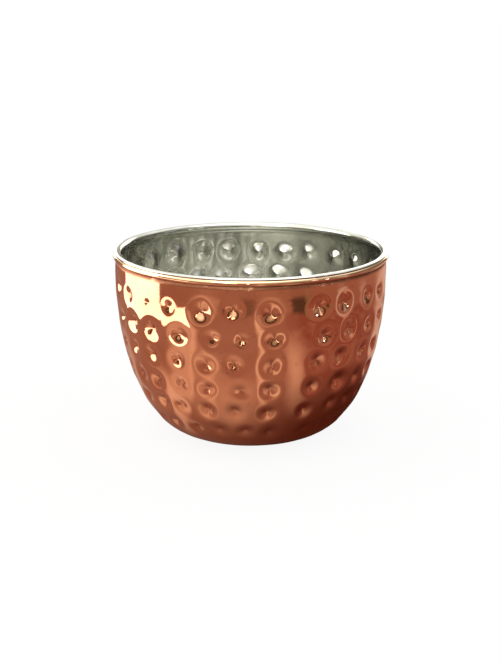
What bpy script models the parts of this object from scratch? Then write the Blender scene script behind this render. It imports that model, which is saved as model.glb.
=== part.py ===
"""Hammered copper bowl, made of three turned pieces that nest in each other.

A copper shell is rolled outwards round a wire at its rim. A stainless steel
liner sits inside it, and the liner's lip is turned over the copper bead.
Origin: middle of the base, on the surface the bowl stands on. +Z up, metres.
"""

import math

import bpy
from mathutils import Vector

MM = 0.001

# Overall size
RIM_DIAMETER = 100.0 * MM
HEIGHT = 68.0 * MM
BASE_RADIUS = 21.0 * MM

# Outer wall, one Bezier curve from the flat base up to the neck under the rim
WALL_TOP_RADIUS = 49.2 * MM
NECK_DEPTH = 3.6 * MM
BASE_HANDLE = 22.5 * MM
TOP_HANDLE = 21.9 * MM
TOP_BULGE = 1.6 * MM

# Two sheets, with the air between them
SHEET = 0.4 * MM
SHEET_GAP = 0.3 * MM

# Rim: the steel lip's bead, the copper curl inside it and the wire in the curl
LIP_RADIUS = 1.5 * MM
LIP_END_ANGLE = 48.0
CURL_RADIUS = 1.08 * MM
CURL_OUT = 0.36 * MM
CURL_DOWN = 0.32 * MM
CURL_END_ANGLE = -72.0
NECK_ANGLE = 215.0
NECK_HANDLE = 0.5 * MM
WIRE_RADIUS = 0.5 * MM

# Facets
TURN_STEPS = 60
WALL_POINTS = 12
NECK_POINTS = 3
LIP_POINTS = 7
CURL_POINTS = 9
WIRE_POINTS = 8
MERGE = 0.00005

# The copper curl is the widest place of the bowl, and the lip's crown is the highest
LIP_CENTRE = Vector((
    RIM_DIAMETER / 2 - CURL_RADIUS - CURL_OUT,
    HEIGHT - LIP_RADIUS,
))
CURL_CENTRE = LIP_CENTRE + Vector((CURL_OUT, -CURL_DOWN))


def clear_scene():
    for old in list(bpy.data.objects):
        bpy.data.objects.remove(old, do_unlink=True)


def material(name, colour, roughness):
    metal = bpy.data.materials.new(name)
    metal.use_nodes = True
    surface = metal.node_tree.nodes["Principled BSDF"]
    surface.inputs["Base Color"].default_value = (*colour, 1.0)
    surface.inputs["Roughness"].default_value = roughness
    surface.inputs["Metallic"].default_value = 1.0
    return metal


def bezier(start, leave, arrive, end, count):
    """Points of a cubic curve in the (radius, height) plane, ends included."""
    points = []
    for i in range(count):
        t = i / (count - 1)
        s = 1.0 - t
        points.append(
            s ** 3 * start + 3 * s * s * t * leave
            + 3 * s * t * t * arrive + t ** 3 * end
        )
    return points


def arc(centre, radius, start_angle, end_angle, count):
    """Points of an arc in the (radius, height) plane, angles in degrees."""
    points = []
    for i in range(count):
        angle = math.radians(start_angle + (end_angle - start_angle) * i / (count - 1))
        points.append(centre + radius * Vector((math.cos(angle), math.sin(angle))))
    return points


def outer_wall():
    """The bowl's outer surface, from the edge of the flat base to the neck."""
    start = Vector((BASE_RADIUS, 0.0))
    end = Vector((WALL_TOP_RADIUS, HEIGHT - NECK_DEPTH))
    return bezier(
        start,
        start + Vector((BASE_HANDLE, 0.0)),
        end + Vector((TOP_BULGE, -TOP_HANDLE)),
        end,
        WALL_POINTS,
    )


def inset_wall(depth):
    """The outer wall moved inwards, square to itself, by depth."""
    wall = outer_wall()
    moved = []
    for i, point in enumerate(wall):
        along = wall[min(i + 1, len(wall) - 1)] - wall[max(i - 1, 0)]
        if i == 0:
            along = Vector((1.0, 0.0))
        inward = Vector((-along.y, along.x)).normalized()
        moved.append(point + depth * inward)
    return moved


def neck(wall_top, bead_start):
    """The short bend from the wall in to the bead, without its two ends."""
    tilt = math.radians(NECK_ANGLE - 90.0)
    arriving = Vector((math.cos(tilt), math.sin(tilt)))
    points = bezier(
        wall_top,
        wall_top + Vector((0.0, NECK_HANDLE)),
        bead_start - NECK_HANDLE * arriving,
        bead_start,
        NECK_POINTS + 2,
    )
    return points[1:-1]


def sheet_midline(depth, bead):
    """Middle of one sheet, from the free edge at the rim down to the axis."""
    wall = inset_wall(depth)
    floor_centre = Vector((0.0, depth))
    upward = [floor_centre] + wall + neck(wall[-1], bead[0]) + bead
    return list(reversed(upward))


def turned_object(name, points, closed, metal, collection):
    """A profile in the XZ plane turned round Z."""
    mesh = bpy.data.meshes.new(name)
    edges = [(i, i + 1) for i in range(len(points) - 1)]
    if closed:
        edges.append((len(points) - 1, 0))
    mesh.from_pydata([(p.x, 0.0, p.y) for p in points], edges, [])
    mesh.materials.append(metal)
    turned = bpy.data.objects.new(name, mesh)
    collection.objects.link(turned)
    screw = turned.modifiers.new("Turn", "SCREW")
    screw.axis = "Z"
    screw.angle = math.tau
    screw.steps = TURN_STEPS
    screw.render_steps = TURN_STEPS
    screw.use_merge_vertices = True
    screw.merge_threshold = MERGE
    screw.use_smooth_shade = True
    return turned


def add_thickness(turned):
    """The sheet's thickness, half to each side of its middle."""
    wall = turned.modifiers.new("Sheet", "SOLIDIFY")
    wall.thickness = SHEET
    wall.offset = 0.0
    wall.use_even_offset = True
    wall.use_rim = True


def copper_shell(collection):
    """Outer bowl: its edge goes up inside the bead, over it and down again."""
    copper = material("copper", (0.62, 0.27, 0.16), 0.16)
    curl = arc(
        CURL_CENTRE, CURL_RADIUS - SHEET / 2, NECK_ANGLE, CURL_END_ANGLE, CURL_POINTS
    )
    shell = turned_object(
        "copper_shell", sheet_midline(SHEET / 2, curl), False, copper, collection
    )
    add_thickness(shell)
    return shell


def steel_liner(collection):
    """Inner bowl: its lip covers the top of the copper bead."""
    steel = material("stainless_steel", (0.56, 0.56, 0.53), 0.18)
    lip = arc(
        LIP_CENTRE, LIP_RADIUS - SHEET / 2, NECK_ANGLE, LIP_END_ANGLE, LIP_POINTS
    )
    depth = SHEET + SHEET_GAP + SHEET / 2
    liner = turned_object(
        "steel_liner", sheet_midline(depth, lip), False, steel, collection
    )
    add_thickness(liner)
    return liner


def rim_wire(collection):
    """Steel wire ring that the copper edge is rolled round."""
    wire_steel = material("wire_steel", (0.45, 0.45, 0.44), 0.4)
    section = arc(CURL_CENTRE, WIRE_RADIUS, 360.0, 0.0, WIRE_POINTS + 1)[:-1]
    return turned_object("rim_wire", section, True, wire_steel, collection)


def main():
    clear_scene()
    bowl = bpy.data.collections.new("hammered_bowl")
    bpy.context.scene.collection.children.link(bowl)
    copper_shell(bowl)
    steel_liner(bowl)
    rim_wire(bowl)


main()
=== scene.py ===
import math

import bmesh
import bpy
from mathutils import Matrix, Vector


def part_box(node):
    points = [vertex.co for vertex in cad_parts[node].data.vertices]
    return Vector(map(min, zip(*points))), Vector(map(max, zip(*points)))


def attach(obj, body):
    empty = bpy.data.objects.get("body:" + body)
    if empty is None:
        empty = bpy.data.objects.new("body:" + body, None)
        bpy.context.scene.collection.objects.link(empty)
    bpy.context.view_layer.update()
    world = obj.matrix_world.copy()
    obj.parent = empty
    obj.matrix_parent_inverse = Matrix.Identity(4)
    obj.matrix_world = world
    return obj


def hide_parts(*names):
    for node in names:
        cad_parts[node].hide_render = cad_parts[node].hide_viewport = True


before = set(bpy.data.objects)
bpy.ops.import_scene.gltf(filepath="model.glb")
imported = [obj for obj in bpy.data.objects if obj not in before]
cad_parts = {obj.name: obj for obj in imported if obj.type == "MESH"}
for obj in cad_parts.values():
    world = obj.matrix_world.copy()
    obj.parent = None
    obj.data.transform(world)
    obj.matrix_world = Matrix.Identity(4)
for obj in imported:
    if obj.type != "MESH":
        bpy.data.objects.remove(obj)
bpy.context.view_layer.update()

print("frame loaded:", ", ".join(sorted(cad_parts)))

mm = 0.001
weld = 0.001 * mm  # points closer than this are one point
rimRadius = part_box("copper_shell")[1].x
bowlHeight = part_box("steel_liner")[1].z


def addNode(tree, kind, **settings):
    node = tree.nodes.new(kind)
    for key, value in settings.items():
        setattr(node, key, value)
    return node


def feed(tree, socket, source):
    # source is another node's output, or a plain value
    if isinstance(source, bpy.types.NodeSocket):
        tree.links.new(source, socket)
    else:
        socket.default_value = source


def calc(tree, operation, *sources):
    node = addNode(tree, "ShaderNodeMath", operation=operation)
    for socket, source in zip(node.inputs, sources):
        feed(tree, socket, source)
    return node.outputs[0]


def vectorCalc(tree, operation, *sources, result=0):
    node = addNode(tree, "ShaderNodeVectorMath", operation=operation)
    for socket, source in zip(node.inputs, sources):
        feed(tree, socket, source)
    return node.outputs[result]


def scaled(tree, vector, amount):
    node = addNode(tree, "ShaderNodeVectorMath", operation="SCALE")
    feed(tree, node.inputs["Vector"], vector)
    feed(tree, node.inputs["Scale"], amount)
    return node.outputs[0]


def splitUp(tree, vector):
    node = addNode(tree, "ShaderNodeSeparateXYZ")
    feed(tree, node.inputs[0], vector)
    return node.outputs["X"], node.outputs["Y"], node.outputs["Z"]


def joinUp(tree, x, y, z):
    node = addNode(tree, "ShaderNodeCombineXYZ")
    for socket, source in zip(node.inputs, (x, y, z)):
        feed(tree, socket, source)
    return node.outputs[0]


def newTree(name, kind, inputs, outputs):
    tree = bpy.data.node_groups.new(name, kind)
    for socketName, socketKind in inputs:
        tree.interface.new_socket(socketName, in_out="INPUT", socket_type=socketKind)
    for socketName, socketKind in outputs:
        tree.interface.new_socket(socketName, in_out="OUTPUT", socket_type=socketKind)
    return tree, addNode(tree, "NodeGroupInput"), addNode(tree, "NodeGroupOutput")


def sampled(tree, kind, geometry, value, index):
    node = addNode(tree, "GeometryNodeSampleIndex", data_type=kind, domain="POINT")
    feed(tree, node.inputs["Geometry"], geometry)
    feed(tree, node.inputs["Value"], value)
    feed(tree, node.inputs["Index"], index)
    return node.outputs[0]


def namedValue(tree, kind, name):
    node = addNode(tree, "GeometryNodeInputNamedAttribute", data_type=kind)
    feed(tree, node.inputs["Name"], name)
    return node.outputs["Attribute"]


def storeValues(tree, geometry, values):
    for name, value in values.items():
        store = addNode(tree, "GeometryNodeStoreNamedAttribute", data_type="FLOAT", domain="POINT")
        feed(tree, store.inputs["Geometry"], geometry)
        feed(tree, store.inputs["Name"], name)
        feed(tree, store.inputs["Value"], value)
        geometry = store.outputs[0]
    return geometry


def finishTree(tree, geometry, material, target):
    real = addNode(tree, "GeometryNodeRealizeInstances")
    feed(tree, real.inputs[0], geometry)
    coat = addNode(tree, "GeometryNodeSetMaterial")
    feed(tree, coat.inputs["Geometry"], real.outputs[0])
    feed(tree, coat.inputs["Material"], material)
    feed(tree, target, coat.outputs[0])


def useTree(piece, tree, values):
    modifier = piece.modifiers.new(tree.name, "NODES")
    modifier.node_group = tree
    for item in tree.interface.items_tree:
        if item.in_out == "INPUT" and item.name in values:
            modifier[item.identifier] = values[item.name]


def toPlainMesh(piece):
    evaluated = piece.evaluated_get(bpy.context.evaluated_depsgraph_get())
    mesh = bpy.data.meshes.new_from_object(evaluated)
    piece.modifiers.clear()
    piece.data = mesh


def closeAndTurnOut(piece):
    work = bmesh.new()
    work.from_mesh(piece.data)
    bmesh.ops.remove_doubles(work, verts=work.verts, dist=weld)
    bmesh.ops.recalc_face_normals(work, faces=work.faces)
    openEdges = sum(1 for edge in work.edges if not edge.is_manifold)
    print(f"{piece.name}: {len(work.faces)} faces, {openEdges} open edges")
    work.to_mesh(piece.data)
    work.free()
    piece.data.shade_smooth()


bowlShape = {
    "baseRadius": 21.0 * mm,  # the flat that the bowl stands on
    "wallTopRadius": 49.2 * mm,
    "neckDepth": 3.6 * mm,  # from the crown of the rim down to the top of the wall
    "baseHandle": 22.5 * mm,  # these three bend the wall, which is one Bezier curve
    "topHandle": 21.9 * mm,
    "topBulge": 1.6 * mm,
    "sheet": 0.4 * mm,
    "gap": 0.3 * mm,  # air between the copper and the steel
}

rimShape = {
    "lipRadius": 1.5 * mm,
    "lipEnd": 48.0,  # degrees above level on the outside, where the steel stops
    "curlRadius": 1.08 * mm,
    "curlOut": 0.36 * mm,  # the copper curl lies this far out from the lip, and this far down
    "curlDown": 0.32 * mm,
    "curlEnd": -72.0,  # below level on the outside, where the copper's edge ends
    "neckAngle": 215.0,  # where both rolls start, on the inside and below level
    "neckHandle": 0.5 * mm,
}

meshSteps = {
    "wallSeen": 106,  # up the face of a sheet that shows
    "wallHidden": 36,  # up its other face
    "underHeight": 4.0 * mm,  # the underside ends here
    "underShare": 0.3,  # how closely the underside is cut, against the rest
    "neck": 6,
    "roll": 18,
    "edge": 3,
}

pressFade = {"top": 2.2 * mm, "base": 1.2 * mm}  # the hammer work dies out over these heights


# the outline of the bowl is drawn in the (radius, height) plane
def bezierPoint(t, start, leave, arrive, end):
    s = 1.0 - t
    return s ** 3 * start + 3 * s * s * t * leave + 3 * s * t * t * arrive + t ** 3 * end


def bezierSlope(t, start, leave, arrive, end):
    s = 1.0 - t
    return 3 * s * s * (leave - start) + 6 * s * t * (arrive - leave) + 3 * t * t * (end - arrive)


def outwardOf(slope):
    return Vector((slope.y, -slope.x)).normalized()


def wallCage():
    shape = bowlShape
    start = Vector((shape["baseRadius"], 0.0))
    end = Vector((shape["wallTopRadius"], bowlHeight - shape["neckDepth"]))
    return (
        start,
        start + Vector((shape["baseHandle"], 0.0)),
        end + Vector((shape["topBulge"], -shape["topHandle"])),
        end,
    )


def evenSteps(count, underShare=1.0):
    # curve parameters that cut the wall into equal lengths, with fewer cuts on the smooth underside
    cage = wallCage()
    fine = 600  # short lengths that stand in for the curve
    lengths = [0.0]
    for i in range(fine):
        step = bezierPoint((i + 1) / fine, *cage) - bezierPoint(i / fine, *cage)
        share = underShare if bezierPoint(i / fine, *cage).y < meshSteps["underHeight"] else 1.0
        lengths.append(lengths[-1] + step.length * share)
    steps = []
    i = 0
    for k in range(count + 1):
        wanted = lengths[-1] * k / count
        while i < fine - 1 and lengths[i + 1] < wanted:
            i += 1
        part = (wanted - lengths[i]) / (lengths[i + 1] - lengths[i])
        steps.append((i + part) / fine)
    return steps


def wallPath(depth, count):
    # the floor's middle first, then up the wall; press says how far a hammer mark shows there
    cage = wallCage()
    down = Vector((0.0, -1.0))
    path = []
    for radius in (0.0, 0.5 * bowlShape["baseRadius"]):
        path.append({"at": Vector((radius, depth)), "out": down, "foot": cage[0], "press": 0.0})
    for t in evenSteps(count, meshSteps["underShare"]):
        foot = bezierPoint(t, *cage)
        out = outwardOf(bezierSlope(t, *cage))
        room = min((cage[3].y - foot.y) / pressFade["top"], foot.y / pressFade["base"], 1.0)
        press = room * room * (3.0 - 2.0 * room)
        path.append({"at": foot - depth * out, "out": out, "foot": foot, "press": press})
    return path


def beadPath(depth, centre, radius, endAngle, rollCount):
    # the neck under the rim, then the roll over the top of the bead
    cage = wallCage()
    wallOut = outwardOf(bezierSlope(1.0, *cage))
    wallTop = cage[3] - depth * wallOut
    tilt = math.radians(rimShape["neckAngle"])
    rollStart = centre + radius * Vector((math.cos(tilt), math.sin(tilt)))
    handle = rimShape["neckHandle"]
    leaving = Vector((-wallOut.y, wallOut.x))
    arriving = Vector((math.sin(tilt), -math.cos(tilt)))
    neck = (wallTop, wallTop + handle * leaving, rollStart - handle * arriving, rollStart)
    path = []
    for i in range(1, meshSteps["neck"]):
        t = i / meshSteps["neck"]
        out = outwardOf(bezierSlope(t, *neck))
        path.append({"at": bezierPoint(t, *neck), "out": out, "foot": cage[3], "press": 0.0})
    for i in range(rollCount + 1):
        angle = tilt + (math.radians(endAngle) - tilt) * i / rollCount
        ray = Vector((math.cos(angle), math.sin(angle)))
        path.append({"at": centre + radius * ray, "out": -ray, "foot": cage[3], "press": 0.0})
    return path


def sheetSection(depth, bead, seenOutside):
    # round the whole edge of one sheet: up its outer face, over the edge, down its inner face
    half = bowlShape["sheet"] / 2
    steps = meshSteps
    outerSteps = steps["wallSeen"] if seenOutside else steps["wallHidden"]
    innerSteps = steps["wallHidden"] if seenOutside else steps["wallSeen"]
    section = []
    for point in wallPath(depth, outerSteps) + beadPath(depth, *bead, steps["roll"] // 2):
        section.append({**point, "at": point["at"] + half * point["out"]})
    tip = section[-1]
    tipMiddle = tip["at"] - half * tip["out"]
    along = Vector((-tip["out"].y, tip["out"].x))
    for i in range(1, steps["edge"] + 1):
        angle = math.pi * i / (steps["edge"] + 1)
        rounded = math.cos(angle) * tip["out"] + math.sin(angle) * along
        section.append({**tip, "at": tipMiddle + half * rounded})
    back = []
    for point in wallPath(depth, innerSteps) + beadPath(depth, *bead, steps["roll"]):
        back.append({**point, "at": point["at"] - half * point["out"]})
    return section + list(reversed(back))


def lineObject(name, places):
    # points of the (radius, height) plane joined by edges, at +X
    mesh = bpy.data.meshes.new(name)
    edges = [(i, i + 1) for i in range(len(places) - 1)]
    mesh.from_pydata([(place.x, 0.0, place.y) for place in places], edges, [])
    piece = bpy.data.objects.new(name, mesh)
    bpy.context.scene.collection.objects.link(piece)
    return piece


def sectionObject(name, section):
    piece = lineObject(name, [point["at"] for point in section])
    for key in ("foot", "out"):
        layer = piece.data.attributes.new(key, "FLOAT_VECTOR", "POINT")
        for i, point in enumerate(section):
            layer.data[i].vector = (point[key].x, 0.0, point[key].y)
    press = piece.data.attributes.new("press", "FLOAT", "POINT")
    for i, point in enumerate(section):
        press.data[i].value = point["press"]
    return piece


hammerWork = {
    "Rows": 6,
    "Marks Per Row": 26,
    "First Depth": 7.9 * mm,  # along the wall, from its top to the first row
    "Row Pitch": 9.65 * mm,
    "Pitch Growth": 0.03 * mm,
    "Column Step": math.radians(13.6),  # a little small, so the round closes on one wide gap
    "First Angle": math.radians(28.5),  # from the front towards the right
    "Row Wander": math.radians(2.4),  # how far a whole row is turned
    "Angle Jitter": math.radians(1.2),  # and how far one mark strays in its row
    "Depth Jitter": 0.6 * mm,
    "Top Radius": 5.5 * mm,
    "Bottom Radius": 5.1 * mm,
    "Radius Jitter": 0.11,
    "Dent Share": 0.25,  # depth of a mark over its radius
    "Dent Jitter": 0.16,
    "Seed": 181,
}

# the number of a mark, row by row, and what is left of its size
lightBlows = {20: 0.85, 21: 0.42, 22: 0.68, 87: 0.8, 144: 0.7}


def randomAround(tree, amount, seed, offset, ident):
    # evenly spread between minus amount and amount
    node = addNode(tree, "FunctionNodeRandomValue", data_type="FLOAT")
    feed(tree, node.inputs[2], calc(tree, "MULTIPLY", amount, -1.0))
    feed(tree, node.inputs[3], amount)
    feed(tree, node.inputs["ID"], ident)
    feed(tree, node.inputs["Seed"], calc(tree, "ADD", seed, offset))
    return node.outputs[1]


def buildMarksTree():
    # one vertex for each place where the ball of the hammer fell
    numbers = ("Rows", "Marks Per Row", "Seed")
    sizes = [key for key in hammerWork if key not in numbers]
    inputs = [("Wall", "NodeSocketGeometry")]
    inputs += [(key, "NodeSocketInt") for key in numbers]
    inputs += [(key, "NodeSocketFloat") for key in sizes]
    inputs.append(("Material", "NodeSocketMaterial"))
    tree, given, result = newTree(
        "hammerMarks", "GeometryNodeTree", inputs, [("Marks", "NodeSocketGeometry")]
    )
    have = given.outputs
    seed = have["Seed"]

    count = calc(tree, "MULTIPLY", have["Rows"], have["Marks Per Row"])
    points = addNode(tree, "GeometryNodePoints")
    feed(tree, points.inputs["Count"], count)
    index = addNode(tree, "GeometryNodeInputIndex").outputs[0]
    share = calc(tree, "DIVIDE", calc(tree, "ADD", index, 0.5), have["Marks Per Row"])
    row = calc(tree, "FLOOR", share)
    column = calc(tree, "SUBTRACT", index, calc(tree, "MULTIPLY", row, have["Marks Per Row"]))

    growing = calc(tree, "MULTIPLY", calc(tree, "MULTIPLY", row, row), have["Pitch Growth"])
    depth = calc(tree, "MULTIPLY_ADD", row, have["Row Pitch"], have["First Depth"])
    depth = calc(tree, "ADD", depth, growing)
    depth = calc(tree, "ADD", depth, randomAround(tree, have["Depth Jitter"], seed, 0, index))
    wallCurve = addNode(tree, "GeometryNodeMeshToCurve")
    feed(tree, wallCurve.inputs["Mesh"], have["Wall"])
    onWall = addNode(tree, "GeometryNodeSampleCurve", mode="LENGTH")
    feed(tree, onWall.inputs["Curves"], wallCurve.outputs["Curve"])
    feed(tree, onWall.inputs["Length"], depth)
    reach, _, height = splitUp(tree, onWall.outputs["Position"])

    # turned from the front, which is -Y
    angle = calc(tree, "MULTIPLY_ADD", column, have["Column Step"], have["First Angle"])
    angle = calc(tree, "ADD", angle, randomAround(tree, have["Row Wander"], seed, 1, row))
    angle = calc(tree, "ADD", angle, randomAround(tree, have["Angle Jitter"], seed, 2, index))
    toRight = calc(tree, "MULTIPLY", reach, calc(tree, "SINE", angle))
    toFront = calc(tree, "MULTIPLY", reach, calc(tree, "COSINE", angle))
    placed = addNode(tree, "GeometryNodeSetPosition")
    feed(tree, placed.inputs["Geometry"], points.outputs[0])
    spot = joinUp(tree, toRight, calc(tree, "MULTIPLY", toFront, -1.0), height)
    feed(tree, placed.inputs["Position"], spot)

    lastRow = calc(tree, "SUBTRACT", have["Rows"], 1.0)
    downShare = calc(tree, "DIVIDE", row, lastRow)
    narrowing = calc(tree, "SUBTRACT", have["Bottom Radius"], have["Top Radius"])
    radius = calc(tree, "MULTIPLY_ADD", downShare, narrowing, have["Top Radius"])
    uneven = calc(tree, "ADD", 1.0, randomAround(tree, have["Radius Jitter"], seed, 3, index))
    radius = calc(tree, "MULTIPLY", radius, uneven)
    force = calc(tree, "ADD", 1.0, randomAround(tree, have["Dent Jitter"], seed, 4, index))
    dent = calc(tree, "MULTIPLY", calc(tree, "MULTIPLY", radius, have["Dent Share"]), force)
    stored = storeValues(tree, placed.outputs[0], {"markRadius": radius, "markDent": dent})
    asVertices = addNode(tree, "GeometryNodePointsToVertices")
    feed(tree, asVertices.inputs["Points"], stored)
    finishTree(tree, asVertices.outputs[0], have["Material"], result.inputs["Marks"])
    return tree


def makeMarks():
    # the tree measures its depths down the wall, so the line starts at the top
    cage = wallCage()
    lineCuts = 120
    marks = lineObject("hammerMarks", [bezierPoint(t, *cage) for t in reversed(evenSteps(lineCuts))])
    useTree(marks, buildMarksTree(), hammerWork)
    toPlainMesh(marks)
    for index, share in lightBlows.items():
        marks.data.attributes["markRadius"].data[index].value *= share
        marks.data.attributes["markDent"].data[index].value *= share
    print("hammer marks:", len(marks.data.vertices))
    return marks


sheetFinish = {
    "Around": 520,
    "Ripple": 0.16 * mm,  # slow waves left by planishing
    "Ripple Scale": 60.0,
    "Wander": 1.6 * mm,  # how far a mark's outline strays from round
    "Wander Scale": 130.0,
    "Pit": 0.10,  # size of the round bottom of a mark, as a share of its radius
    "Steepness": 2.1,  # 1 is a plain cone, more gives a softer shoulder and a narrower middle
    "Seed": 3,
}


def turned(tree, flat, cosine, sine):
    # a vector of the section's plane, turned round Z
    x, y, z = splitUp(tree, flat)
    return joinUp(tree, calc(tree, "MULTIPLY", x, cosine), calc(tree, "MULTIPLY", x, sine), z)


def seededNoise(tree, vector, seed, scale, detail):
    node = addNode(tree, "ShaderNodeTexNoise", noise_dimensions="4D")
    feed(tree, node.inputs["Vector"], vector)
    feed(tree, node.inputs["W"], seed)
    feed(tree, node.inputs["Scale"], scale)
    feed(tree, node.inputs["Detail"], detail)
    return node.outputs


def buildSheetTree():
    # a grid takes the places of the section, turned round Z, and is dented by the marks
    numbers = ("Around", "Seed")
    sizes = [key for key in sheetFinish if key not in numbers]
    inputs = [("Section", "NodeSocketGeometry"), ("Marks", "NodeSocketObject")]
    inputs += [(key, "NodeSocketInt") for key in numbers]
    inputs += [(key, "NodeSocketFloat") for key in sizes]
    inputs.append(("Material", "NodeSocketMaterial"))
    tree, given, result = newTree(
        "hammeredSheet", "GeometryNodeTree", inputs, [("Sheet", "NodeSocketGeometry")]
    )
    have = given.outputs
    section = have["Section"]

    size = addNode(tree, "GeometryNodeAttributeDomainSize", component="MESH")
    feed(tree, size.inputs["Geometry"], section)
    rows = size.outputs["Point Count"]
    grid = addNode(tree, "GeometryNodeMeshGrid")
    feed(tree, grid.inputs["Vertices X"], calc(tree, "ADD", have["Around"], 1.0))
    feed(tree, grid.inputs["Vertices Y"], rows)
    index = addNode(tree, "GeometryNodeInputIndex").outputs[0]
    column = calc(tree, "FLOOR", calc(tree, "DIVIDE", calc(tree, "ADD", index, 0.5), rows))
    row = calc(tree, "SUBTRACT", index, calc(tree, "MULTIPLY", column, rows))

    angle = calc(tree, "MULTIPLY", calc(tree, "DIVIDE", column, have["Around"]), math.tau)
    cosine = calc(tree, "COSINE", angle)
    sine = calc(tree, "SINE", angle)
    ownPlace = addNode(tree, "GeometryNodeInputPosition").outputs[0]
    place = sampled(tree, "FLOAT_VECTOR", section, ownPlace, row)
    foot = sampled(tree, "FLOAT_VECTOR", section, namedValue(tree, "FLOAT_VECTOR", "foot"), row)
    out = sampled(tree, "FLOAT_VECTOR", section, namedValue(tree, "FLOAT_VECTOR", "out"), row)
    press = sampled(tree, "FLOAT", section, namedValue(tree, "FLOAT", "press"), row)
    place = turned(tree, place, cosine, sine)
    foot = turned(tree, foot, cosine, sine)
    out = turned(tree, out, cosine, sine)

    # the nearest mark to the point of the outer wall that this point lies under
    marks = addNode(tree, "GeometryNodeObjectInfo", transform_space="ORIGINAL")
    feed(tree, marks.inputs["Object"], have["Marks"])
    allMarks = marks.outputs["Geometry"]
    nearest = addNode(tree, "GeometryNodeSampleNearest", domain="POINT")
    feed(tree, nearest.inputs["Geometry"], allMarks)
    straySeed = calc(tree, "ADD", have["Seed"], 9.0)
    stray = seededNoise(tree, foot, straySeed, have["Wander Scale"], 0.0)["Color"]
    push = vectorCalc(tree, "SUBTRACT", stray, (0.5, 0.5, 0.5))
    strayed = vectorCalc(tree, "ADD", foot, scaled(tree, push, have["Wander"]))
    feed(tree, nearest.inputs["Sample Position"], strayed)
    which = nearest.outputs["Index"]
    markPlace = sampled(tree, "FLOAT_VECTOR", allMarks, ownPlace, which)
    markRadius = sampled(tree, "FLOAT", allMarks, namedValue(tree, "FLOAT", "markRadius"), which)
    markDent = sampled(tree, "FLOAT", allMarks, namedValue(tree, "FLOAT", "markDent"), which)
    away = vectorCalc(tree, "DISTANCE", strayed, markPlace, result=1)

    # a blunt point with a soft shoulder: a power of 1 - s, where s is the distance, rounded near 0
    away = calc(tree, "MINIMUM", calc(tree, "DIVIDE", away, markRadius), 1.0)
    pitSquared = calc(tree, "MULTIPLY", have["Pit"], have["Pit"])
    outsidePit = calc(tree, "SUBTRACT", 1.0, pitSquared)
    rounded = calc(tree, "MULTIPLY_ADD", calc(tree, "MULTIPLY", away, away), outsidePit, pitSquared)
    closeness = calc(tree, "SUBTRACT", 1.0, calc(tree, "SQRT", rounded))
    closeness = calc(tree, "DIVIDE", closeness, calc(tree, "SUBTRACT", 1.0, have["Pit"]))
    stamp = calc(tree, "POWER", closeness, have["Steepness"])
    dent = calc(tree, "MULTIPLY", calc(tree, "MULTIPLY", stamp, markDent), press)

    wave = seededNoise(tree, foot, have["Seed"], have["Ripple Scale"], 1.0)[0]
    wave = calc(tree, "SUBTRACT", wave, 0.5)
    wave = calc(tree, "MULTIPLY", calc(tree, "MULTIPLY", wave, have["Ripple"]), press)
    inward = calc(tree, "SUBTRACT", wave, dent)
    moved = vectorCalc(tree, "ADD", place, scaled(tree, out, inward))

    shaped = addNode(tree, "GeometryNodeSetPosition")
    feed(tree, shaped.inputs["Geometry"], grid.outputs["Mesh"])
    feed(tree, shaped.inputs["Position"], moved)
    stored = storeValues(tree, shaped.outputs[0], {"dent": stamp, "press": press})
    merged = addNode(tree, "GeometryNodeMergeByDistance")  # closes the seam and the two poles
    feed(tree, merged.inputs["Geometry"], stored)
    feed(tree, merged.inputs["Distance"], 2.0 * weld)
    finishTree(tree, merged.outputs[0], have["Material"], result.inputs["Sheet"])
    return tree


def hammeredSheet(name, section, marks, tree, material):
    piece = sectionObject(name, section)
    useTree(piece, tree, {**sheetFinish, "Marks": marks, "Material": material})
    toPlainMesh(piece)
    closeAndTurnOut(piece)
    return piece


def mixColour(tree, amount, first, second):
    node = addNode(tree, "ShaderNodeMix", data_type="RGBA")
    feed(tree, node.inputs[0], amount)
    feed(tree, node.inputs[6], first)
    feed(tree, node.inputs[7], second)
    return node.outputs[2]


def rampBetween(tree, value, low, high):
    # 0 below low, 1 above high, eased between
    node = addNode(tree, "ShaderNodeMapRange", interpolation_type="SMOOTHSTEP")
    feed(tree, node.inputs["Value"], value)
    feed(tree, node.inputs["From Min"], low)
    feed(tree, node.inputs["From Max"], high)
    return node.outputs["Result"]


def rampDown(tree, value, low, high):
    # 1 below low, 0 above high, eased between
    return calc(tree, "SUBTRACT", 1.0, rampBetween(tree, value, low, high))


def noiseOf(tree, vector, scale, detail=2.0, roughness=0.5):
    node = addNode(tree, "ShaderNodeTexNoise")
    feed(tree, node.inputs["Vector"], vector)
    feed(tree, node.inputs["Scale"], scale)
    node.inputs["Detail"].default_value = detail
    node.inputs["Roughness"].default_value = roughness
    return node.outputs[0]


def turnFromFront(tree, x, y):
    # 0 at the front (-Y), growing to the right
    return calc(tree, "ARCTAN2", x, calc(tree, "MULTIPLY", y, -1.0))


wearEdges = {  # each effect is eased in between these two values of its noise or mask
    "scratches": (0.60, 0.75),
    "haze": (0.42, 0.70),
    "spots": (0.64, 0.74),
    "tone": (0.35, 0.66),
    "pits": (0.25, 0.95),
    "creaseBreaks": (0.10, 0.45),
}

creaseShape = {"breakScale": 260.0, "footLow": 0.4 * mm, "footHigh": 4.0 * mm, "footShare": 0.6}


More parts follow.
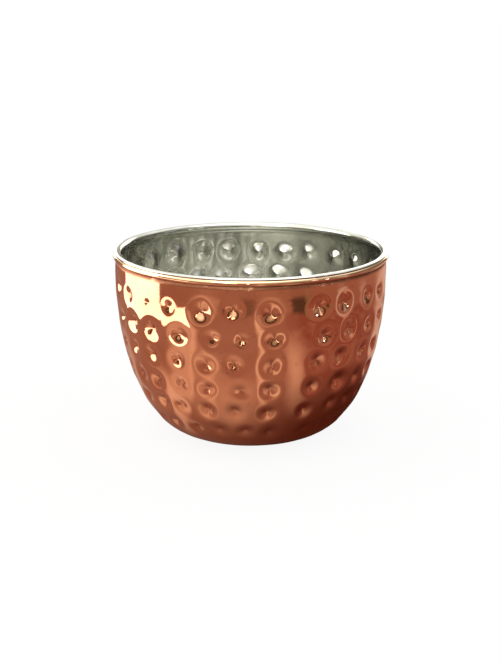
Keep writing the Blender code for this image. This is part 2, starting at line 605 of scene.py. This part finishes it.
def buildPolishGroup():
    # fine lines that run round the bowl, left by the polishing wheel
    tree, given, result = newTree(
        "polishLines",
        "ShaderNodeTree",
        [("Vector", "NodeSocketVector"), ("Lines", "NodeSocketFloat"), ("Breaks", "NodeSocketFloat")],
        [("Height", "NodeSocketFloat"), ("Scratches", "NodeSocketFloat")],
    )
    have = given.outputs
    x, y, z = splitUp(tree, have["Vector"])
    radius = vectorCalc(tree, "LENGTH", joinUp(tree, x, y, 0.0), result=1)
    across = calc(tree, "MULTIPLY", radius, have["Lines"])
    upward = calc(tree, "MULTIPLY", z, have["Lines"])
    along = calc(tree, "MULTIPLY", turnFromFront(tree, x, y), have["Breaks"])
    lines = noiseOf(tree, joinUp(tree, across, upward, along), 1.0, 3.0, 0.7)
    feed(tree, result.inputs["Height"], lines)
    feed(tree, result.inputs["Scratches"], rampBetween(tree, lines, *wearEdges["scratches"]))
    return tree


def buildHandlingGroup():
    # the haze that hands and a dish cloth leave, small dull spots, and slow changes of tone
    tree, given, result = newTree(
        "handling",
        "ShaderNodeTree",
        [
            ("Vector", "NodeSocketVector"),
            ("Patch Scale", "NodeSocketFloat"),
            ("Spot Scale", "NodeSocketFloat"),
        ],
        [("Haze", "NodeSocketFloat"), ("Spots", "NodeSocketFloat"), ("Tone", "NodeSocketFloat")],
    )
    have = given.outputs
    wide = noiseOf(tree, have["Vector"], have["Patch Scale"], 3.0, 0.6)
    feed(tree, result.inputs["Haze"], rampBetween(tree, wide, *wearEdges["haze"]))
    fine = noiseOf(tree, have["Vector"], have["Spot Scale"], 2.0, 0.5)
    feed(tree, result.inputs["Spots"], rampBetween(tree, fine, *wearEdges["spots"]))
    elsewhere = vectorCalc(tree, "ADD", have["Vector"], (0.3, 0.1, 0.7))
    feed(tree, result.inputs["Tone"], noiseOf(tree, elsewhere, have["Patch Scale"], 4.0, 0.65))
    return tree


def buildCreaseGroup():
    # painted shade with tarnish, where polish stays behind: under the bead and round the foot; tarnish
    # in the pits of the marks
    tree, given, result = newTree(
        "creases",
        "ShaderNodeTree",
        [
            ("Vector", "NodeSocketVector"),
            ("Dent", "NodeSocketFloat"),
            ("Neck Height", "NodeSocketFloat"),
            ("Neck Reach", "NodeSocketFloat"),
        ],
        [("Mask", "NodeSocketFloat"), ("Pits", "NodeSocketFloat")],
    )
    have = given.outputs
    shape = creaseShape
    height = splitUp(tree, have["Vector"])[2]
    away = calc(tree, "ABSOLUTE", calc(tree, "SUBTRACT", height, have["Neck Height"]))
    neck = rampDown(tree, away, 0.0, have["Neck Reach"])
    foot = rampDown(tree, height, shape["footLow"], shape["footHigh"])
    both = calc(tree, "MAXIMUM", neck, calc(tree, "MULTIPLY", foot, shape["footShare"]))
    uneven = noiseOf(tree, have["Vector"], shape["breakScale"], 2.0)
    # under the bead and round the foot this mask is painted shade, with some tarnish
    mask = calc(tree, "MULTIPLY", both, rampBetween(tree, uneven, *wearEdges["creaseBreaks"]))
    feed(tree, result.inputs["Mask"], mask)
    feed(tree, result.inputs["Pits"], rampBetween(tree, have["Dent"], *wearEdges["pits"]))
    return tree


finishGroups = {
    "polish": buildPolishGroup(),
    "handling": buildHandlingGroup(),
    "creases": buildCreaseGroup(),
}


def placeGroup(tree, name, place, values):
    node = addNode(tree, "ShaderNodeGroup", node_tree=finishGroups[name])
    feed(tree, node.inputs["Vector"], place)
    for key, value in values.items():
        feed(tree, node.inputs[key], value)
    return node.outputs


def bumpOf(tree, height, distance, before=None):
    node = addNode(tree, "ShaderNodeBump")
    node.inputs["Distance"].default_value = distance
    feed(tree, node.inputs["Height"], height)
    if before is not None:
        feed(tree, node.inputs["Normal"], before)
    return node.outputs[0]


def attributeOf(tree, name):
    return addNode(tree, "ShaderNodeAttribute", attribute_name=name).outputs["Fac"]


# mixes toward a second colour by a mask: stains, tarnish and rust, and painted shade in the creases
def mixedToward(tree, mask, strength, colour, towardColour):
    return mixColour(tree, calc(tree, "MULTIPLY", mask, strength), colour, towardColour)


def newMetal(name):
    material = bpy.data.materials.new(name)
    material.use_nodes = True
    tree = material.node_tree
    surface = tree.nodes["Principled BSDF"]
    surface.inputs["Metallic"].default_value = 1.0
    place = addNode(tree, "ShaderNodeTexCoord").outputs["Object"]
    return material, tree, surface, place


def sheetNormal(tree, place, look, lines):
    # the soft peel of the surface, with the polishing lines on it
    peel = noiseOf(tree, place, look["peelScale"], 2.0)
    return bumpOf(tree, lines, look["lines"], bumpOf(tree, peel, look["peel"]))


copperLook = {
    "bright": (0.92, 0.46, 0.275, 1.0),
    "deep": (0.84, 0.375, 0.215, 1.0),  # older, redder metal
    # tarnish in the pits and spots, and painted shade under the bead and round the foot
    "tarnishAndShade": (0.27, 0.095, 0.05, 1.0),
    "creaseShadeAndTarnish": 0.9,
    "pitTarnish": 0.22,
    "spotTarnish": 0.18,
    "wornWithSheen": (0.97, 0.66, 0.42, 1.0),  # the bead under the lip: rubbed metal, with a painted sheen that makes it paler
    "wornSheenFrom": 2.6 * mm,  # below the crown of the rim, as is wornSheenFull
    "wornSheenFull": 1.4 * mm,
    "roughness": 0.030,
    "hazeRoughness": 0.035,
    "scratchRoughness": 0.05,
    "creaseRoughness": 0.45,
    "lacquer": 0.22,
    "lacquerRoughness": 0.04,
    "peel": 0.0030 * mm,
    "peelScale": 620.0,
    "lines": 0.0006 * mm,
    "polish": {"Lines": 2600.0, "Breaks": 9.0},
    "handling": {"Patch Scale": 42.0, "Spot Scale": 420.0},
    "creases": {
        "Neck Height": bowlHeight - bowlShape["neckDepth"] + 0.4 * mm,
        "Neck Reach": 1.35 * mm,
    },
}


def copperFinish():
    look = copperLook
    material, tree, surface, place = newMetal("lacqueredCopper")
    polish = placeGroup(tree, "polish", place, look["polish"])
    handling = placeGroup(tree, "handling", place, look["handling"])
    dent = attributeOf(tree, "dent")
    creases = placeGroup(tree, "creases", place, {"Dent": dent, **look["creases"]})
    height = splitUp(tree, place)[2]

    tone = rampBetween(tree, handling["Tone"], *wearEdges["tone"])
    colour = mixColour(tree, tone, look["bright"], look["deep"])
    # the bead is painted paler towards the crown: a painted sheen, with rubbed metal
    rubbedWithSheen = rampBetween(tree, height, bowlHeight - look["wornSheenFrom"], bowlHeight - look["wornSheenFull"])
    colour = mixColour(tree, rubbedWithSheen, colour, look["wornWithSheen"])
    # painted shade with tarnish under the bead and round the foot
    colour = mixedToward(tree, creases["Mask"], look["creaseShadeAndTarnish"], colour, look["tarnishAndShade"])
    colour = mixedToward(tree, creases["Pits"], look["pitTarnish"], colour, look["tarnishAndShade"])
    colour = mixedToward(tree, handling["Spots"], look["spotTarnish"], colour, look["tarnishAndShade"])
    feed(tree, surface.inputs["Base Color"], colour)

    rough = calc(tree, "MULTIPLY_ADD", handling["Haze"], look["hazeRoughness"], look["roughness"])
    rough = calc(tree, "MULTIPLY_ADD", polish["Scratches"], look["scratchRoughness"], rough)
    rough = calc(tree, "MULTIPLY_ADD", creases["Mask"], look["creaseRoughness"], rough)
    feed(tree, surface.inputs["Roughness"], rough)

    # the lacquer is gone where the bead is rubbed, and in the creases
    lacquer = calc(tree, "MULTIPLY", calc(tree, "SUBTRACT", 1.0, rubbedWithSheen), look["lacquer"])
    lacquer = calc(tree, "MULTIPLY", lacquer, calc(tree, "SUBTRACT", 1.0, creases["Mask"]))
    feed(tree, surface.inputs["Coat Weight"], lacquer)
    surface.inputs["Coat Roughness"].default_value = look["lacquerRoughness"]
    feed(tree, surface.inputs["Normal"], sheetNormal(tree, place, look, polish["Height"]))
    return material


steelLook = {
    "bright": (0.67, 0.67, 0.625, 1.0),
    "deep": (0.54, 0.545, 0.495, 1.0),
    # a dull film in the spots, and painted shade under the lip and low in the bowl
    "filmAndShade": (0.30, 0.30, 0.25, 1.0),
    "creaseShadeAndFilm": 0.6,
    "spotFilm": 0.14,
    "roughness": 0.12,
    "hazeRoughness": 0.08,
    "scratchRoughness": 0.08,
    "pitRoughness": -0.03,  # the middles of the marks are a little brighter
    "peel": 0.0022 * mm,
    "peelScale": 520.0,
    "lines": 0.0012 * mm,
    "polish": {"Lines": 2000.0, "Breaks": 5.0},
    "handling": {"Patch Scale": 55.0, "Spot Scale": 380.0},
    "creases": {
        "Neck Height": bowlHeight - bowlShape["neckDepth"] - 0.2 * mm,
        "Neck Reach": 1.0 * mm,
    },
}


def steelFinish():
    look = steelLook
    material, tree, surface, place = newMetal("polishedSteel")
    polish = placeGroup(tree, "polish", place, look["polish"])
    handling = placeGroup(tree, "handling", place, look["handling"])
    dent = attributeOf(tree, "dent")
    creases = placeGroup(tree, "creases", place, {"Dent": dent, **look["creases"]})

    tone = rampBetween(tree, handling["Tone"], *wearEdges["tone"])
    colour = mixColour(tree, tone, look["bright"], look["deep"])
    # painted shade with film under the lip and low in the bowl
    colour = mixedToward(tree, creases["Mask"], look["creaseShadeAndFilm"], colour, look["filmAndShade"])
    colour = mixedToward(tree, handling["Spots"], look["spotFilm"], colour, look["filmAndShade"])
    feed(tree, surface.inputs["Base Color"], colour)

    rough = calc(tree, "MULTIPLY_ADD", handling["Haze"], look["hazeRoughness"], look["roughness"])
    rough = calc(tree, "MULTIPLY_ADD", polish["Scratches"], look["scratchRoughness"], rough)
    rough = calc(tree, "MULTIPLY_ADD", creases["Pits"], look["pitRoughness"], rough)
    feed(tree, surface.inputs["Roughness"], rough)
    feed(tree, surface.inputs["Normal"], sheetNormal(tree, place, look, polish["Height"]))
    return material


wireLook = {
    "bright": (0.45, 0.45, 0.44, 1.0),
    "deep": (0.30, 0.29, 0.28, 1.0),
    "rust": (0.22, 0.10, 0.05, 1.0),
    "spotRust": 0.7,
    "roughness": 0.34,
    "hazeRoughness": 0.15,
    "lines": 0.002 * mm,
    "polish": {"Lines": 9000.0, "Breaks": 3.0},  # here they are the marks of the drawing die
    "handling": {"Patch Scale": 160.0, "Spot Scale": 900.0},
}


def wireFinish():
    look = wireLook
    material, tree, surface, place = newMetal("drawnWire")
    drawn = placeGroup(tree, "polish", place, look["polish"])
    handling = placeGroup(tree, "handling", place, look["handling"])
    colour = mixColour(tree, handling["Tone"], look["bright"], look["deep"])
    colour = mixedToward(tree, handling["Spots"], look["spotRust"], colour, look["rust"])
    feed(tree, surface.inputs["Base Color"], colour)
    rough = calc(tree, "MULTIPLY_ADD", handling["Haze"], look["hazeRoughness"], look["roughness"])
    feed(tree, surface.inputs["Roughness"], rough)
    feed(tree, surface.inputs["Normal"], bumpOf(tree, drawn["Height"], look["lines"]))
    return material


def lipCentre():
    # the copper curl is the widest place of the bowl, and the steel lip is the highest
    rim = rimShape
    return Vector((rimRadius - rim["curlRadius"] - rim["curlOut"], bowlHeight - rim["lipRadius"]))


def makeCopper(marks, tree):
    half = bowlShape["sheet"] / 2
    centre = lipCentre() + Vector((rimShape["curlOut"], -rimShape["curlDown"]))
    curl = (centre, rimShape["curlRadius"] - half, rimShape["curlEnd"])
    section = sheetSection(half, curl, True)
    copper = hammeredSheet("hammered_copper", section, marks, tree, copperFinish())
    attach(copper, "root")
    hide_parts("copper_shell")


def makeLiner(marks, tree):
    half = bowlShape["sheet"] / 2
    depth = bowlShape["sheet"] + bowlShape["gap"] + half
    lip = (lipCentre(), rimShape["lipRadius"] - half, rimShape["lipEnd"])
    section = sheetSection(depth, lip, False)
    liner = hammeredSheet("hammered_liner", section, marks, tree, steelFinish())
    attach(liner, "root")
    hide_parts("steel_liner")


def finishWire():
    # the wire keeps its CAD shape
    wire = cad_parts["rim_wire"]
    wire.data.materials.clear()
    wire.data.materials.append(wireFinish())


def makeBowl():
    marks = makeMarks()
    tree = buildSheetTree()
    makeCopper(marks, tree)
    makeLiner(marks, tree)
    finishWire()
    bpy.data.objects.remove(marks, do_unlink=True)


cameraPlace = {
    "distance": 500.0 * mm,
    "elevation": 15.65,
    "aimHeight": 35.38 * mm,
    "aimSide": -0.26 * mm,
    "lens": 72.7,
    "nearest": 10.0 * mm,
}


def makeCamera():
    place = cameraPlace
    tilt = math.radians(place["elevation"])
    aim = Vector((place["aimSide"], 0.0, place["aimHeight"]))
    back = Vector((0.0, -math.cos(tilt), math.sin(tilt)))
    data = bpy.data.cameras.new("camera")
    data.lens = place["lens"]
    data.clip_start = place["nearest"]
    camera = bpy.data.objects.new("camera", data)
    camera.location = aim + place["distance"] * back
    camera.rotation_euler = (-back).to_track_quat("-Z", "Y").to_euler()
    bpy.context.scene.collection.objects.link(camera)
    bpy.context.scene.camera = camera


def sector(tree, azimuth, middle, half, soft):
    # 1 inside a slice of the round, eased at its sides; its middle, half and soft are in degrees
    wrapped = addNode(tree, "ShaderNodeMath", operation="WRAP")
    feed(tree, wrapped.inputs[0], calc(tree, "SUBTRACT", azimuth, math.radians(middle)))
    wrapped.inputs[1].default_value = math.pi
    wrapped.inputs[2].default_value = -math.pi
    off = calc(tree, "ABSOLUTE", wrapped.outputs[0])
    return rampDown(tree, off, math.radians(half - soft), math.radians(half + soft))


# To the eye the floor is plain and pale. Polished metal mirrors a brown table in its place, with
# streaks of light on it. Distances are in metres from the bowl's axis, and angles in degrees.
tableLook = {
    "halfSize": 3.0,
    "pale": (0.93, 0.93, 0.93, 1.0),
    "shadeShare": 0.09,  # how strongly the bowl's shadow shows
    "left": (0.39, 0.220, 0.170, 1.0),
    "right": (0.29, 0.110, 0.086, 1.0),
    "rightSide": (74.0, 48.0, 18.0),  # azimuth, half width, softness
    "beyond": (0.37, 0.205, 0.155, 1.0),
    "cloudScale": 30.0,
    "cloudEdges": (0.40, 0.75),
    "strayScale": 22.0,
    "stray": 11.0,  # how far a streak wavers
    "shaded": (0.075, 0.019, 0.011, 1.0),  # the table close under the bowl
    "shadedMiddle": (0.024, 0.004, 0.0),
    "shadedReach": (0.026, 0.084),
    "streak": (0.86, 0.66, 0.53, 1.0),
    # a painted dark band in what the metal mirrors
    "darkBand": (0.075, 0.050, 0.034, 1.0),
    "olive": (0.24, 0.22, 0.12, 1.0),
    "cool": (0.62, 0.60, 0.62, 1.0),
    "twistFrom": 0.058,  # a twisted streak crosses its azimuth at this distance
    "nearEdges": (0.85, 1.15),  # a streak fades in and out over these shares of its two distances
    "farEdges": (0.75, 1.3),
    # azimuth, half width, softness, strength, nearest and farthest distance, twist in radians a metre
    "streaks": (
        (-51.0, 9.0, 8.0, 0.72, 0.055, 0.16, 0.0),
        (-43.0, 2.2, 2.0, 0.85, 0.060, 0.19, 0.0),
        (-60.0, 6.5, 5.0, 1.00, 0.034, 0.080, 9.0),
        (-27.0, 2.5, 2.5, 0.75, 0.050, 0.11, 2.0),
        (-24.0, 12.0, 10.0, 0.35, 0.045, 0.11, 4.0),
        (7.5, 2.6, 2.4, 0.95, 0.050, 0.30, 0.0),
        (31.0, 6.0, 5.0, 0.60, 0.050, 0.13, 0.0),
        (-6.0, 14.0, 8.0, 0.35, 0.040, 0.075, 0.0),
        (-110.0, 8.0, 7.0, 0.40, 0.040, 0.14, 5.0),
        (77.0, 2.2, 2.0, 0.55, 0.140, 0.300, 0.0),
        (128.0, 9.0, 8.0, 0.60, 0.050, 0.25, 0.0),
        (152.0, 3.0, 3.0, 0.80, 0.050, 0.25, 0.0),
        (-150.0, 11.0, 8.0, 0.70, 0.045, 0.25, 3.0),
        (172.0, 5.0, 5.0, 0.60, 0.045, 0.25, 0.0),
    ),
    "farStreaks": (  # azimuth, half width, softness, strength, colour
        (-34.0, 8.0, 7.0, 0.55, "streak"),
        (16.0, 6.0, 6.0, 0.35, "streak"),
        (37.0, 6.0, 2.5, 0.90, "darkBand"),
        (46.0, 3.5, 2.0, 0.75, "olive"),
        (-2.0, 5.0, 4.0, 0.50, "darkBand"),
        (76.0, 3.8, 1.8, 0.95, "cool"),
        (100.0, 4.0, 3.0, 0.45, "cool"),
        (140.0, 16.0, 10.0, 0.60, "streak"),
        (-160.0, 8.0, 5.0, 0.60, "darkBand"),
    ),
    "farFrom": (0.205, 0.235),  # the far streaks take over between these distances
    "farFade": (0.30, 0.42),  # and fade into the colour beyond between these
    "farFadeShare": 0.8,
}


def mirroredTable(tree):
    look = tableLook
    place = addNode(tree, "ShaderNodeTexCoord").outputs["Object"]
    x, y, _ = splitUp(tree, place)
    stray = calc(tree, "SUBTRACT", noiseOf(tree, place, look["strayScale"], 2.0), 0.5)
    azimuth = turnFromFront(tree, x, y)
    azimuth = calc(tree, "MULTIPLY_ADD", stray, math.radians(look["stray"]), azimuth)
    distance = vectorCalc(tree, "LENGTH", place, result=1)
    colour = mixColour(tree, sector(tree, azimuth, *look["rightSide"]), look["left"], look["right"])
    cloudy = rampBetween(tree, noiseOf(tree, place, look["cloudScale"], 3.0), *look["cloudEdges"])
    colour = mixColour(tree, cloudy, colour, look["beyond"])

    past = calc(tree, "SUBTRACT", distance, look["twistFrom"])
    nearLow, nearHigh = look["nearEdges"]
    farLow, farHigh = look["farEdges"]
    for middle, half, soft, strength, near, far, twist in look["streaks"]:
        twisted = calc(tree, "MULTIPLY_ADD", past, twist, azimuth)
        amount = calc(tree, "MULTIPLY", sector(tree, twisted, middle, half, soft), strength)
        fadeIn = rampBetween(tree, distance, near * nearLow, near * nearHigh)
        fadeOut = rampDown(tree, distance, far * farLow, far * farHigh)
        amount = calc(tree, "MULTIPLY", calc(tree, "MULTIPLY", amount, fadeIn), fadeOut)
        colour = mixColour(tree, amount, colour, look["streak"])
    fromShade = vectorCalc(tree, "DISTANCE", place, look["shadedMiddle"], result=1)
    inTheOpen = rampBetween(tree, fromShade, *look["shadedReach"])
    colour = mixColour(tree, inTheOpen, look["shaded"], colour)

    farColour = look["beyond"]
    for middle, half, soft, strength, name in look["farStreaks"]:
        amount = calc(tree, "MULTIPLY", sector(tree, azimuth, middle, half, soft), strength)
        farColour = mixColour(tree, amount, farColour, look[name])
    colour = mixColour(tree, rampBetween(tree, distance, *look["farFrom"]), colour, farColour)
    faded = mixColour(tree, look["farFadeShare"], farColour, look["beyond"])
    return mixColour(tree, rampBetween(tree, distance, *look["farFade"]), colour, faded)


def mixShaders(tree, amount, first, second):
    mix = addNode(tree, "ShaderNodeMixShader")
    feed(tree, mix.inputs[0], amount)
    feed(tree, mix.inputs[1], first.outputs[0])
    feed(tree, mix.inputs[2], second.outputs[0])
    return mix


def makeFloor():
    look = tableLook
    half = look["halfSize"]
    corners = [(-half, -half, 0.0), (half, -half, 0.0), (half, half, 0.0), (-half, half, 0.0)]
    mesh = bpy.data.meshes.new("floor")
    mesh.from_pydata(corners, [], [(0, 1, 2, 3)])
    floor = bpy.data.objects.new("floor", mesh)
    bpy.context.scene.collection.objects.link(floor)

    material = bpy.data.materials.new("paleFloor")
    material.use_nodes = True
    tree = material.node_tree
    tree.nodes.clear()
    pale = addNode(tree, "ShaderNodeBsdfDiffuse")
    pale.inputs["Color"].default_value = look["pale"]
    glow = addNode(tree, "ShaderNodeEmission")
    glow.inputs["Color"].default_value = (1.0, 1.0, 1.0, 1.0)
    seen = mixShaders(tree, look["shadeShare"], glow, pale)
    mirrored = addNode(tree, "ShaderNodeEmission")
    feed(tree, mirrored.inputs["Color"], mirroredTable(tree))
    glossy = addNode(tree, "ShaderNodeLightPath").outputs["Is Glossy Ray"]
    output = addNode(tree, "ShaderNodeOutputMaterial")
    feed(tree, output.inputs["Surface"], mixShaders(tree, glossy, seen, mirrored).outputs[0])
    mesh.materials.append(material)


lightCards = (
    # name, azimuth, distance, low, high, width, brightness, colour
    ("windowLow", -57.5, 0.158, 0.0, 0.023, 0.070, 2.7, (1.0, 0.98, 0.92)),
    ("windowLeft", -92.5, 0.166, 0.0, 0.24, 0.134, 2.7, (1.0, 0.98, 0.92)),
    ("frontStrip", -2.0, 0.420, 0.045, 0.150, 0.012, 5.0, (1.0, 0.97, 0.88)),
    ("frontGlint", -12.0, 0.420, 0.070, 0.120, 0.030, 1.6, (1.0, 0.62, 0.38)),
    ("rightPanel", 50.0, 0.420, 0.08, 0.20, 0.035, 1.2, (1.0, 0.95, 0.85)),
    ("violetSpot", 60.0, 0.400, 0.070, 0.098, 0.022, 13.0, (0.84, 0.80, 1.0)),
    ("coolSky", -24.0, 0.620, 0.30, 0.46, 0.17, 4.5, (0.84, 0.90, 1.0)),
    ("creamGlint", -16.0, 0.620, 0.105, 0.165, 0.11, 3.2, (1.0, 0.96, 0.78)),
    ("backWindow", 160.0, 0.420, 0.02, 0.30, 0.22, 1.8, (1.0, 0.97, 0.92)),
    ("backLeftWindow", -155.0, 0.420, 0.02, 0.30, 0.16, 1.6, (0.95, 0.97, 1.0)),
)

softTop = {"across": 0.9, "brightness": 1.6, "place": (0.1, -0.15, 0.95)}


def fromFront(azimuth, distance, height):
    turn = math.radians(azimuth)
    return Vector((distance * math.sin(turn), -distance * math.cos(turn), height))


def areaLight(name, shape, area, brightness):
    # lights are for the metal: neither the eye nor the floor sees them
    data = bpy.data.lights.new(name, "AREA")
    data.shape = shape
    data.energy = brightness * math.pi * area
    light = bpy.data.objects.new(name, data)
    light.visible_camera = False
    light.visible_diffuse = False
    bpy.context.scene.collection.objects.link(light)
    return light


def makeLights():
    for name, azimuth, distance, low, high, width, brightness, colour in lightCards:
        card = areaLight(name, "RECTANGLE", width * (high - low), brightness)
        card.data.size = width
        card.data.size_y = high - low
        card.data.color = colour
        card.location = fromFront(azimuth, distance, (low + high) / 2)
        inward = fromFront(azimuth + 180.0, 1.0, 0.0)
        card.rotation_euler = inward.to_track_quat("-Z", "Y").to_euler()
    across = softTop["across"]
    top = areaLight("softTop", "DISK", math.pi * (across / 2) ** 2, softTop["brightness"])
    top.data.size = across
    top.location = softTop["place"]


# The same goes for the sky: white to the eye, and soft light with dark and bright sides in the metal.
# Heights are sines of the angle above the horizon.
skyLook = {
    "white": 1.12,
    "stops": (
        (0.00, (0.22, 0.120, 0.085, 1.0)),
        (0.025, (0.075, 0.052, 0.038, 1.0)),
        (0.08, (0.080, 0.060, 0.042, 1.0)),
        (0.13, (0.21, 0.17, 0.11, 1.0)),
        (0.21, (0.50, 0.45, 0.34, 1.0)),
        (0.36, (0.92, 0.90, 0.80, 1.0)),
        (0.60, (1.35, 1.35, 1.27, 1.0)),
        (1.00, (1.75, 1.77, 1.75, 1.0)),
    ),
    "patch": (1.10, 1.05, 0.88, 1.0),
    "patchRise": (0.05, 0.13),
    "patchFall": (0.2, 0.6),
    "patchStretch": (9.0, 3.0),  # across and upward, so the patches are narrow and upright
    "patchScale": 1.7,
    "patchEdges": (0.54, 0.68),
    "windowSide": (1.70, 1.67, 1.50, 1.0),
    "dark": (0.085, 0.080, 0.062, 1.0),
    "cool": (0.55, 0.56, 0.60, 1.0),
    "sides": (  # colour, azimuth, half width, softness, strength, heights of its rise and of its fall
        ("windowSide", -42.0, 34.0, 20.0, 1.0, (0.10, 0.30), None),
        ("dark", 62.0, 40.0, 22.0, 0.5, (0.10, 0.30), None),
        ("dark", 108.0, 42.0, 16.0, 0.8, None, (0.35, 0.75)),
        ("cool", 80.0, 7.0, 4.0, 0.8, None, (0.25, 0.50)),
    ),
}


def brokenLight(tree, azimuth, elevation):
    # patches of light, as gaps in foliage or the panes of far windows give
    look = skyLook
    across = calc(tree, "MULTIPLY", azimuth, look["patchStretch"][0])
    upward = calc(tree, "MULTIPLY", elevation, look["patchStretch"][1])
    noise = noiseOf(tree, joinUp(tree, across, upward, 0.0), look["patchScale"], 3.0, 0.6)
    return rampBetween(tree, noise, *look["patchEdges"])


def mirroredSky(tree):
    look = skyLook
    x, y, height = splitUp(tree, addNode(tree, "ShaderNodeTexCoord").outputs["Generated"])
    azimuth = turnFromFront(tree, x, y)
    ramp = addNode(tree, "ShaderNodeValToRGB")
    while len(ramp.color_ramp.elements) < len(look["stops"]):
        ramp.color_ramp.elements.new(0.5)
    for element, (position, stopColour) in zip(ramp.color_ramp.elements, look["stops"]):
        element.position = position
        element.color = stopColour
    feed(tree, ramp.inputs["Fac"], height)

    low = rampDown(tree, height, *look["patchFall"])
    low = calc(tree, "MULTIPLY", low, rampBetween(tree, height, *look["patchRise"]))
    broken = brokenLight(tree, azimuth, calc(tree, "ARCSINE", height))
    colour = mixColour(tree, calc(tree, "MULTIPLY", broken, low), ramp.outputs["Color"], look["patch"])
    for name, middle, half, soft, strength, rise, fall in look["sides"]:
        amount = calc(tree, "MULTIPLY", sector(tree, azimuth, middle, half, soft), strength)
        if rise:
            amount = calc(tree, "MULTIPLY", amount, rampBetween(tree, height, *rise))
        if fall:
            amount = calc(tree, "MULTIPLY", amount, rampDown(tree, height, *fall))
        colour = mixColour(tree, amount, colour, look[name])
    return colour


def makeWorld():
    world = bpy.data.worlds.new("studio")
    bpy.context.scene.world = world
    world.use_nodes = True
    tree = world.node_tree
    white = tree.nodes["Background"]
    white.inputs["Color"].default_value = (1.0, 1.0, 1.0, 1.0)
    white.inputs["Strength"].default_value = skyLook["white"]
    mirrored = addNode(tree, "ShaderNodeBackground")
    feed(tree, mirrored.inputs["Color"], mirroredSky(tree))
    glossy = addNode(tree, "ShaderNodeLightPath").outputs["Is Glossy Ray"]
    mix = mixShaders(tree, glossy, white, mirrored)
    feed(tree, tree.nodes["World Output"].inputs["Surface"], mix.outputs[0])


makeBowl()
print("bowl made")
makeCamera()
makeFloor()
makeLights()
makeWorld()
bpy.context.scene.view_settings.view_transform = "Standard"
print("studio made")
